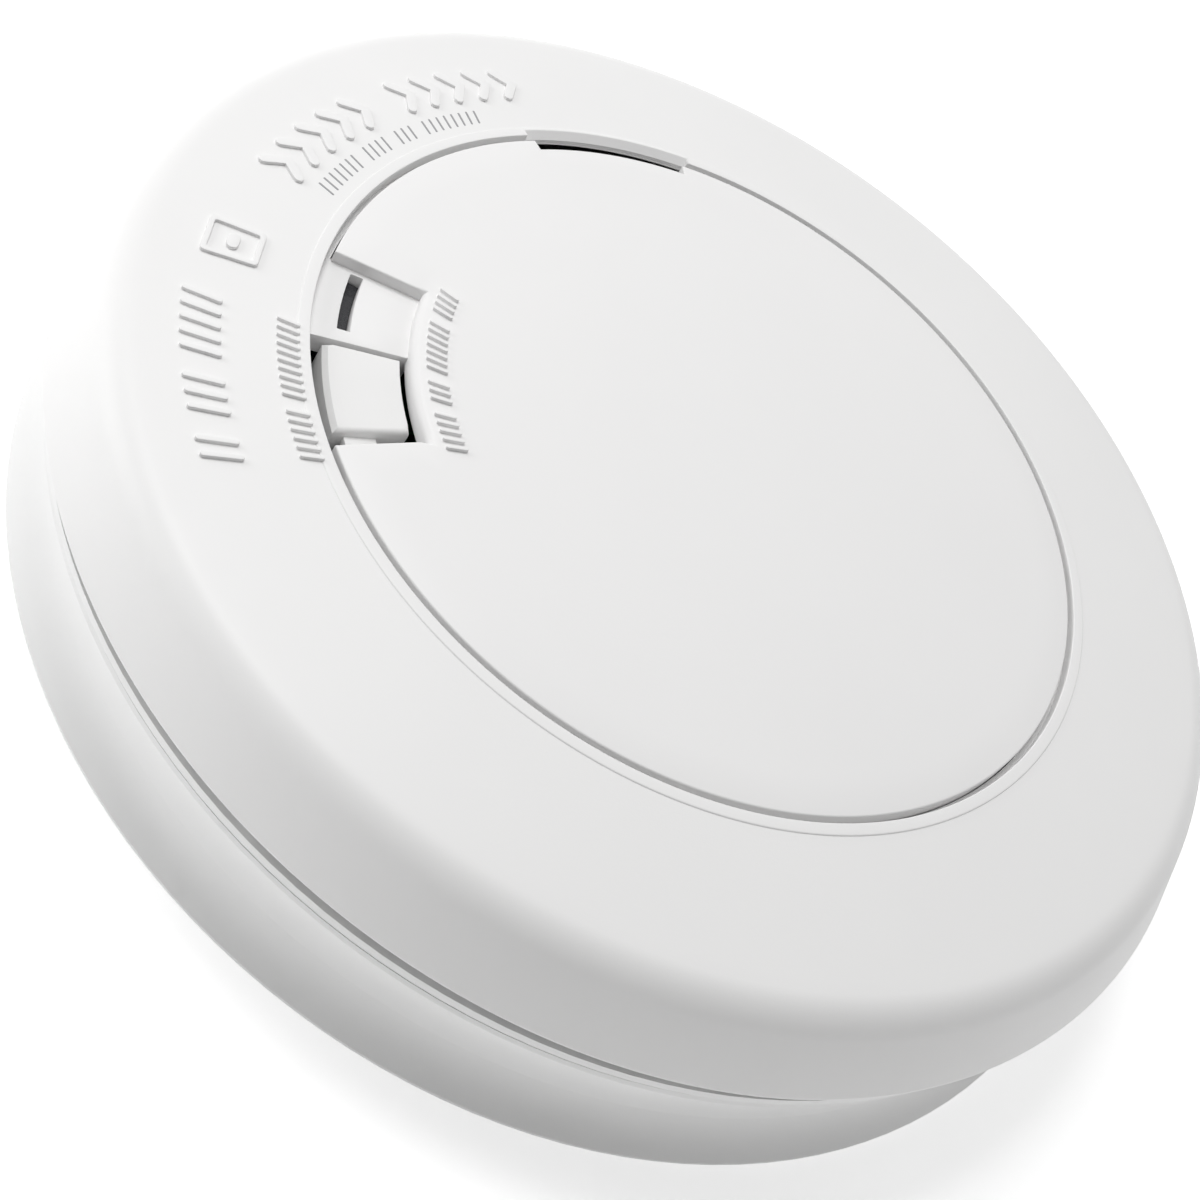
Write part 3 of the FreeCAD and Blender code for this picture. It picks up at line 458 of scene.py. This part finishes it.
def rodInto(bm, start, end, r0, r1=None, sides=24, ease=0.1):
    # a round rod between two points, its end edges eased
    a, b = Vector(start), Vector(end)
    axis = (b - a).normalized()
    side = axis.orthogonal().normalized()
    other = axis.cross(side)
    r1 = r0 if r1 is None else r1
    rows = []
    stations = ((0.0, r0 - ease), (ease, r0), ((b - a).length - ease, r1), ((b - a).length, r1 - ease))
    for along, radius in stations:
        row = []
        for k in range(sides):
            t = 2 * math.pi * k / sides
            spoke = side * math.cos(t) + other * math.sin(t)
            row.append(bm.verts.new((a + axis * along + spoke * radius) * mm))
        if rows:
            bridge(bm, rows[-1], row)
        rows.append(row)
    bm.faces.new(list(reversed(rows[0])))
    bm.faces.new(rows[-1])


def makePiece(name, bm, look, body, replaced=(), sharp=32.0):
    bmesh.ops.remove_doubles(bm, verts=bm.verts, dist=1e-7)
    bmesh.ops.recalc_face_normals(bm, faces=bm.faces)
    data = bpy.data.meshes.new(name)
    bm.to_mesh(data)
    bm.free()
    data.shade_smooth()
    data.set_sharp_from_angle(angle=math.radians(sharp))
    data.materials.append(look)
    piece = bpy.data.objects.new(name, data)
    scene.collection.objects.link(piece)
    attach(piece, body)
    if replaced:
        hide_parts(*replaced)
    return piece


def polarPoint(r, angle):
    a = math.radians(angle)
    return (r * math.cos(a), r * math.sin(a))


def polarOutline(stations, soft=0.0, step=1.0):
    # corners given as (r, angle): equal radii are joined by arcs, the rest by straight lines
    corners = []
    for i, (r, a) in enumerate(stations):
        r1, a1 = stations[(i + 1) % len(stations)]
        corners.append((*polarPoint(r, a), soft))
        if abs(r1 - r) < 1e-6:
            sweep = a1 - a
            count = max(1, int(abs(math.radians(sweep)) * r / step))
            corners += [(*polarPoint(r, a + sweep * k / count), 0.0) for k in range(1, count)]
        else:
            count = max(1, int(abs(r1 - r) / step))
            corners += [(*polarPoint(r + (r1 - r) * k / count, a), 0.0) for k in range(1, count)]
    return softCorners(corners)


def discSpots(radius, gap, keep):
    spots = [(0.0, 0.0)]
    for k in range(1, int(radius / gap) + 1):
        r = k * gap
        count = int(2 * math.pi * r / gap)
        spots += [polarPoint(r, 360.0 * (i + 0.5 * (k % 2)) / count) for i in range(count)]
    return [p for p in spots if keep(*p)]


# front cover
coverSet = {
    "domeRadius": 578.0,
    "draft": 22.0,
    "shoulder": 4.5,
    "wall": 2.0,
    "skirt": 18.54,
    "opening": 46.9,
    "lip": (1.3, 0.12),
    "collar": 2.0,
    "seat": (26.4, 24.9),
    "seatWidth": 3.7,
    "step": (46.32, 28.6),
    "seatGap": (151.5, 190.3),
    "collarEdge": 0.04,
    "ribs": 9,
    "firstRib": 15.0,
    "ribSpan": (65.9, 68.0),
    "ribHalf": 0.8,
    "ribLevels": (15.95, 23.0),
    "bosses": (50.0, 140.0, 236.0, 304.0),
    "bossPlace": 58.0,
    "bossLevels": (13.8, 27.5),
    "bossRadius": 3.5,
    "slot": (76.5, 104.0),
    "slotSlope": (0.85, 0.8),
    "slotLow": 28.75,
    "segments": 288,
}
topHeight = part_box("centre_panel")[1].z / mm
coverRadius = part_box("front_cover")[1].x / mm


def domeHeight(r, depth=0.0):
    size = coverSet["domeRadius"]
    return topHeight - size + math.sqrt((size - depth) ** 2 - r * r)


def domeAt(x, y):
    return domeHeight(math.hypot(x, y))


def shoulderArc(depth, steps=10):
    # points round the shoulder, from the domed face to the drafted wall
    size = coverSet["domeRadius"]
    fillet = coverSet["shoulder"]
    draft = math.radians(coverSet["draft"])
    reach = math.cos(draft) * coverRadius + math.sin(draft) * coverSet["skirt"] - fillet
    span = size - fillet
    base = topHeight - size
    tilt = math.asin((reach - math.sin(draft) * base) / span)
    r = span * math.sin(tilt - draft)
    z = base + span * math.cos(tilt - draft)
    first = math.asin(r / span)
    last = math.radians(90) - draft
    turns = [first + (last - first) * k / steps for k in range(steps + 1)]
    return [(r + (fillet - depth) * math.sin(t), z + (fillet - depth) * math.cos(t), 0.0) for t in turns]


def coverProfile(angle):
    s = coverSet
    foot = s["wall"] / math.cos(math.radians(s["draft"]))
    edge = s["opening"]
    inward = edge + s["collar"]
    lipEdge = edge + s["lip"][0]
    notched = s["slot"][0] < angle < s["slot"][1]
    opened = notched or s["seatGap"][0] < angle < s["seatGap"][1]
    cut = s["slotSlope"][0] if notched else 0.0
    seatTop, seatLow = (s["slotLow"] + 0.05, s["slotLow"]) if notched else s["seat"]
    shelf = edge - (0.1 if opened else s["seatWidth"])
    stepEdge, stepTop = (edge - 0.1, seatTop + 0.05) if opened else s["step"]
    rise = domeHeight(edge) + s["lip"][1]
    outer = shoulderArc(0.0)
    corners = [
        (stepEdge, seatTop, 0.0),
        (stepEdge, stepTop, 0.0),
        (edge, stepTop, 0.0),
        (edge, rise - s["slotSlope"][1], 0.0),
        (edge + cut, rise, 0.14),
        (lipEdge, domeHeight(lipEdge) + s["lip"][1], 0.12),
        (lipEdge + 0.1, domeHeight(lipEdge + 0.1), 0.0),
    ]
    start = lipEdge + 0.1
    for k in range(1, 12):
        r = start + (outer[0][0] - start) * k / 12
        corners.append((r, domeHeight(r), 0.0))
    corners += outer
    corners += [(coverRadius, s["skirt"], 0.45), (coverRadius - foot, s["skirt"], 0.3)]
    corners += reversed(shoulderArc(s["wall"]))
    corners += [(inward, domeHeight(inward, s["wall"]), 0.0), (inward, seatLow, 0.1)]
    corners += [(shelf, seatLow, s["collarEdge"]), (shelf, seatTop, s["collarEdge"])]
    return softCorners(corners)


def frontCover():
    s = coverSet
    bm = bmesh.new()
    breaks = [a + side for a in (*s["slot"], *s["seatGap"]) for side in (-0.02, 0.02)]
    latheInto(bm, coverProfile, wholeTurn(s["segments"], breaks))
    r0, r1 = s["ribSpan"]
    low, high = s["ribLevels"]
    for k in range(s["ribs"]):
        along = Vector(polarPoint(1.0, s["firstRib"] + 360.0 * k / s["ribs"]))
        across = Vector((-along.y, along.x)) * s["ribHalf"]
        loop = [along * r0 - across, along * r1 - across, along * r1 + across, along * r0 + across]
        slabInto(bm, [[tuple(p) for p in loop]], lambda x, y: high, low, 0.1)
    foot, top = s["bossLevels"]
    for angle in s["bosses"]:
        x, y = polarPoint(s["bossPlace"], angle)
        rodInto(bm, (x, y, foot), (x, y, top), s["bossRadius"])
    return makePiece("cover_shell", bm, coverPlastic, "alarm", ["front_cover"])


# centre panel
panelSet = {
    "radius": 46.2,
    "foot": 26.4,
    "skin": 2.0,
    "rim": 1.6,
    "pocket": (36.0, 151.5, 185.5),
    "hornCut": (44.65, 77.3, 103.1),
    "recess": (1.45, 27.3),
    "divider": 166.0,
    "indicator": (42.3, 43.7, 152.3, 163.7),
    "edge": 0.22,
    "pocketEdge": 0.85,
    "openBelow": (166.0, 28.5),
    "clips": (35.0, 128.0, 205.0, 237.0, 303.0, 335.0),
    "clipHalf": 3.0,
    "clipThick": 1.1,
    "clipBarb": 1.2,
    "clipGap": 0.2,
    "clipHeight": 1.5,
}


def panelOutline():
    inner, a0, a1 = panelSet["pocket"]
    cut, h0, h1 = panelSet["hornCut"]
    r = panelSet["radius"]
    h0, h1, a0, end = (a + 360.0 for a in (h0, h1, a0, a1))
    return polarOutline([(r, a1), (r, h0), (cut, h0), (cut, h1), (r, h1), (r, a0), (inner, a0), (inner, end)])


def panelEdge(loop):
    limit = panelSet["pocket"][0] + 0.05
    return [panelSet["pocketEdge"] if math.hypot(*p) < limit else panelSet["edge"] for p in loop]


def panelFoot(x, y):
    # the wall beside the button is only a lip, and lets the hinge tab through at its end
    inner, _, a1 = panelSet["pocket"]
    start, lip = panelSet["openBelow"]
    t0, t1, _ = buttonSet["tab"]
    r = math.hypot(x, y)
    angle = math.degrees(math.atan2(y, x)) % 360.0
    beside = r < inner + 0.05 and start < angle
    atTab = abs(angle - a1) < 0.3 and t0 - 1.0 < r < t1 + 1.0
    return lip if beside or atTab else panelSet["foot"]


def insidePanel(x, y):
    inner, a0, a1 = panelSet["pocket"]
    cut, h0, h1 = panelSet["hornCut"]
    angle = math.degrees(math.atan2(y, x)) % 360.0
    limit = panelSet["radius"]
    if a0 - 3 < angle < a1 + 3:
        limit = inner
    elif h0 - 3 < angle < h1 + 3:
        limit = cut
    return math.hypot(x, y) < limit - 2.4


def sectorSlab(bm, r0, r1, a0, a1, top, bottom, edge=0.1):
    outline = polarOutline([(r0, a0), (r1, a0), (r1, a1), (r0, a1)])
    slabInto(bm, [outline], lambda x, y: top, bottom, edge, steps=2)


def centrePanel():
    s = panelSet
    inner, a0, _ = s["pocket"]
    bm = bmesh.new()
    spots = discSpots(s["radius"], 3.0, insidePanel)
    slabInto(bm, [panelOutline()], domeAt, panelFoot, panelEdge, spots, s["rim"], s["skin"])
    # recess floor, out to the ring, with the slot for the indicator
    depth, low = s["recess"]
    r0, r1, b0, b1 = s["indicator"]
    reach = coverSet["opening"] - 0.05
    end = s["divider"]
    floor = polarOutline([(inner - 0.4, a0 - 0.3), (reach, a0 - 0.3), (reach, end), (inner - 0.4, end)])
    slot = list(reversed(polarOutline([(r0, b0), (r1, b0), (r1, b1), (r0, b1)], 0.12)))
    slabInto(bm, [floor, slot], lambda x, y: domeAt(x, y) - depth, low, 0.08, steps=2)
    sectorSlab(bm, inner - 0.4, reach, end - 1.0, end - 0.02, low + 0.3, s["foot"])
    # clips under the rim that snap into the cover
    leg = coverSet["opening"] - coverSet["seatWidth"] - 0.3
    catch = coverSet["seat"][1] - s["clipGap"]
    foot = catch - s["clipHeight"]
    for angle in s["clips"]:
        sides = (angle - s["clipHalf"], angle + s["clipHalf"])
        sectorSlab(bm, leg - s["clipThick"], leg, *sides, domeHeight(leg) - 1.0, foot)
        sectorSlab(bm, leg - s["clipGap"], leg + s["clipBarb"], *sides, catch, foot)
    return makePiece("panel_shell", bm, panelPlastic, "alarm", ["centre_panel"])


# test button
buttonSet = {
    "span": (36.7, 44.9, 166.5, 181.6),
    "depth": 1.75,
    "foot": 24.66,
    "skin": 1.0,
    "bevel": 0.5,
    "end": 0.55,
    "tab": (40.0, 43.6, 187.3),
    "tabHalf": 0.5,
    "wall": 1.2,
    "pins": (((38.9, 44.4), 1.1), ((37.0, 45.8), 0.7)),
    "stem": (41.0, 177.0),
    "stemRadii": (1.0, 1.6),
    "stemTaper": 1.2,
    "stemTop": 27.2,
}
pivotHeight = next(j for j in frame["joints"] if j["name"] == "button_press")["pos_m"][2] / mm


def buttonEdge(loop):
    _, r1, _, a1 = buttonSet["span"]
    eases = []
    for x, y in loop:
        angle = math.degrees(math.atan2(y, x)) % 360.0
        if math.hypot(x, y) > r1 - 0.05:
            eases.append(-buttonSet["bevel"])
        else:
            eases.append(buttonSet["end"] if angle > a1 - 0.3 else 0.15)
    return eases


def testButton():
    s = buttonSet
    r0, r1, a0, a1 = s["span"]
    t0, t1, pivot = s["tab"]
    bm = bmesh.new()
    outline = polarOutline([(r0, a0), (r1, a0), (r1, a1), (r0, a1)])
    top = lambda x, y: domeAt(x, y) - s["depth"]
    slabInto(bm, [outline], top, s["foot"], buttonEdge, (), s["wall"], s["skin"])
    sectorSlab(bm, t0, t1, a1 - 1.0, pivot, pivotHeight + s["tabHalf"], pivotHeight - s["tabHalf"])
    for (start, end), radius in s["pins"]:
        rodInto(bm, (*polarPoint(start, pivot), pivotHeight), (*polarPoint(end, pivot), pivotHeight), radius)
    x, y = polarPoint(*s["stem"])
    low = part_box("switch_plunger")[1].z / mm + 0.05
    tip, radius = s["stemRadii"]
    shoulder = low + s["stemTaper"]
    rodInto(bm, (x, y, low), (x, y, shoulder), tip, radius)
    rodInto(bm, (x, y, shoulder - 0.1), (x, y, s["stemTop"]), radius)
    return makePiece("button_cap", bm, buttonPlastic, "button", ["test_button"])


# raised and printed marks
# plain strokes only; along each row s runs clockwise in millimetres and h runs outward
markSet = {
    "rise": 0.4,
    "ease": 0.08,
    "inset": 0.3,
    "chevronReach": (-0.95, 0.75),
    "inkRise": 0.02,
    "inkEase": 0.006,
    "hatch": {"place": (56.0, 187.3), "height": 4.2, "pitch": 1.9, "width": 0.62, "groups": (2, 3, 5)},
    "dashes": {"place": (47.9, 188.0), "height": 2.6, "pitch": 1.1, "width": 0.42, "groups": (6, 10)},
    "bars": {"place": (32.2, 188.5), "height": 2.5, "pitch": 1.05, "width": 0.42, "groups": (5, 3, 7, 4)},
    "chevrons": {"place": (53.0, 143.5), "height": 5.5, "pitch": 3.85, "width": 1.15, "groups": (5, 5)},
    "printed": {"place": (49.4, 142.0), "height": 2.5, "pitch": 1.15, "width": 0.26, "groups": (7, 4, 3, 8)},
    "frame": {"place": (53.2, 159.6), "height": 6.1, "across": 5.4, "width": 0.6, "dot": 1.3},
}


def ribbon(points, width):
    # outline of an even stroke along open points, with round ends
    path = [Vector(p) for p in points]
    left, right = [], []
    for i, p in enumerate(path):
        before = (p - path[i - 1]).normalized() if i else (path[1] - p).normalized()
        after = (path[i + 1] - p).normalized() if i + 1 < len(path) else before
        side = Vector((-before.y - after.y, before.x + after.x)) * width / 2 / max(0.5, 1 + before.dot(after))
        left.append(p + side)
        right.append(p - side)

    def cap(centre, arm):
        turns = [Matrix.Rotation(math.radians(a), 2) @ arm for a in (36, 72, 108, 144)]
        return [centre + t for t in turns]

    loop = right + cap(path[-1], right[-1] - path[-1]) + left[::-1] + cap(path[0], left[0] - path[0])
    return [tuple(p) for p in loop]


def onFace(row, loop, s0=0.0):
    # bends a flat outline round the face
    r0, a0 = row["place"]
    middle = r0 + row["height"] / 2
    return [polarPoint(r0 + h, a0 - math.degrees((s0 + s) / middle)) for s, h in loop]


def rowPlaces(row):
    # where each stroke of a row stands, with one empty place between groups
    s = row["pitch"] / 2
    for count in row["groups"]:
        for _ in range(count):
            yield s
            s += row["pitch"]
        s += row["pitch"]


def markInto(bm, row, loop, s0=0.0, rise=markSet["rise"], edge=markSet["ease"]):
    face = onFace(row, loop, s0)
    low = min(domeAt(x, y) for x, y in face) - 0.5
    slabInto(bm, [face], lambda x, y: domeAt(x, y) + rise, low, edge, steps=3)


def strokesInto(bm, row, points, **finish):
    for s in rowPlaces(row):
        markInto(bm, row, ribbon(points, row["width"]), s, **finish)


def hatch(row):
    # one stroke leaning the way the row runs
    lean = 0.1 * row["height"]
    return [(-lean, markSet["inset"]), (lean, row["height"] - markSet["inset"])]


def chevron(row):
    back, tip = markSet["chevronReach"]
    margin = 2 * markSet["inset"]
    return [(back, margin), (tip, row["height"] / 2), (back, row["height"] - margin)]


def faceMarks():
    s = markSet
    bm = bmesh.new()
    strokesInto(bm, s["hatch"], hatch(s["hatch"]))
    strokesInto(bm, s["dashes"], hatch(s["dashes"]))
    strokesInto(bm, s["chevrons"], chevron(s["chevrons"]))
    row = s["frame"]
    w, h = row["across"], row["height"]
    band = row["width"]
    outer = softCorners([(0, 0, 0.6), (w, 0, 0.6), (w, h, 0.6), (0, h, 0.6)])
    right, top = w - band, h - band
    inner = softCorners([(band, band, 0.3), (band, top, 0.3), (right, top, 0.3), (right, band, 0.3)])
    loops = [onFace(row, outer), onFace(row, inner)]
    low = domeHeight(row["place"][0] + h) - 0.5
    slabInto(bm, loops, lambda x, y: domeAt(x, y) + s["rise"], low, s["ease"], steps=3)
    markInto(bm, row, ribbon([(w / 2 - 0.5, h / 2), (w / 2 + 0.5, h / 2)], row["dot"]))
    makePiece("ring_marks", bm, coverPlastic, "alarm")
    bm = bmesh.new()
    strokesInto(bm, s["bars"], hatch(s["bars"]))
    makePiece("panel_marks", bm, panelPlastic, "alarm")
    bm = bmesh.new()
    strokesInto(bm, s["printed"], hatch(s["printed"]), rise=s["inkRise"], edge=s["inkEase"])
    makePiece("printed_marks", bm, greyInk, "alarm")


# light and floor
lightSet = {
    "sky": (0.0, 0.58),
    "skyLean": (0.45, 0.50, 0.74),
    "key": {"place": (-0.10, 0.23, 0.61), "aim": (0, 0, 0.02), "size": 0.35, "power": 2.1},
    "left": {"place": (-0.48, 0.32, 0.22), "aim": (0, 0, 0.02), "size": 0.35, "power": 1.1},
    "right": {"place": (0.5, -0.05, 0.35), "aim": (0, 0, 0.02), "size": 0.5, "power": 0.25},
    "floorReach": 3.0,
    "floorDrop": 0.0002,
    "floorTone": (0.93, 0.93, 0.93),
    "floorGlow": 0.38,
}


def addLight(name):
    s = lightSet[name]
    data = bpy.data.lights.new(name, "AREA")
    data.shape = "DISK"
    data.size = s["size"]
    data.energy = s["power"]
    lamp = bpy.data.objects.new(name, data)
    lamp.location = s["place"]
    lamp.rotation_euler = (Vector(s["aim"]) - Vector(s["place"])).to_track_quat("-Z", "Y").to_euler()
    scene.collection.objects.link(lamp)


def addSky():
    world = bpy.data.worlds.new("studio")
    world.use_nodes = True
    tree = world.node_tree
    back = tree.nodes["Background"]
    back.inputs["Color"].default_value = (1.0, 1.0, 1.0, 1.0)
    # paler overhead and behind the alarm, dimmer in front of it
    place = tree.nodes.new("ShaderNodeTexCoord")
    lean = tree.nodes.new("ShaderNodeVectorMath")
    lean.operation = "DOT_PRODUCT"
    lean.inputs[1].default_value = lightSet["skyLean"]
    span = tree.nodes.new("ShaderNodeMapRange")
    span.inputs["From Min"].default_value = -1.0
    span.inputs["To Min"].default_value, span.inputs["To Max"].default_value = lightSet["sky"]
    tree.links.new(place.outputs["Generated"], lean.inputs[0])
    tree.links.new(lean.outputs["Value"], span.inputs["Value"])
    tree.links.new(span.outputs["Result"], back.inputs["Strength"])
    scene.world = world


def addFloor():
    s = Shader("studio floor")
    tone = lightSet["floorTone"]
    s.set(Base_Color=s.blend(s.noise(6.0), tone, tuple(0.99 * c for c in tone)))
    s.set(Roughness=0.8 + 0.05 * s.noise(40.0), Emission_Color=(1.0, 1.0, 1.0, 1.0))
    s.set(Emission_Strength=lightSet["floorGlow"])
    bm = bmesh.new()
    edge = [polarPoint(lightSet["floorReach"], angle) for angle in wholeTurn(48)]
    bm.faces.new([bm.verts.new((x, y, 0.0)) for x, y in edge])
    data = bpy.data.meshes.new("floor")
    bm.to_mesh(data)
    bm.free()
    data.materials.append(s.material)
    floor = bpy.data.objects.new("floor", data)
    floor.location.z = -lightSet["floorDrop"]
    scene.collection.objects.link(floor)


print("stage: light, floor and view")
makeCamera()
addSky()
for lamp in ("key", "left", "right"):
    addLight(lamp)
addFloor()
print("stage: cover")
frontCover()
print("stage: panel")
centrePanel()
print("stage: button")
testButton()
print("stage: marks")
faceMarks()
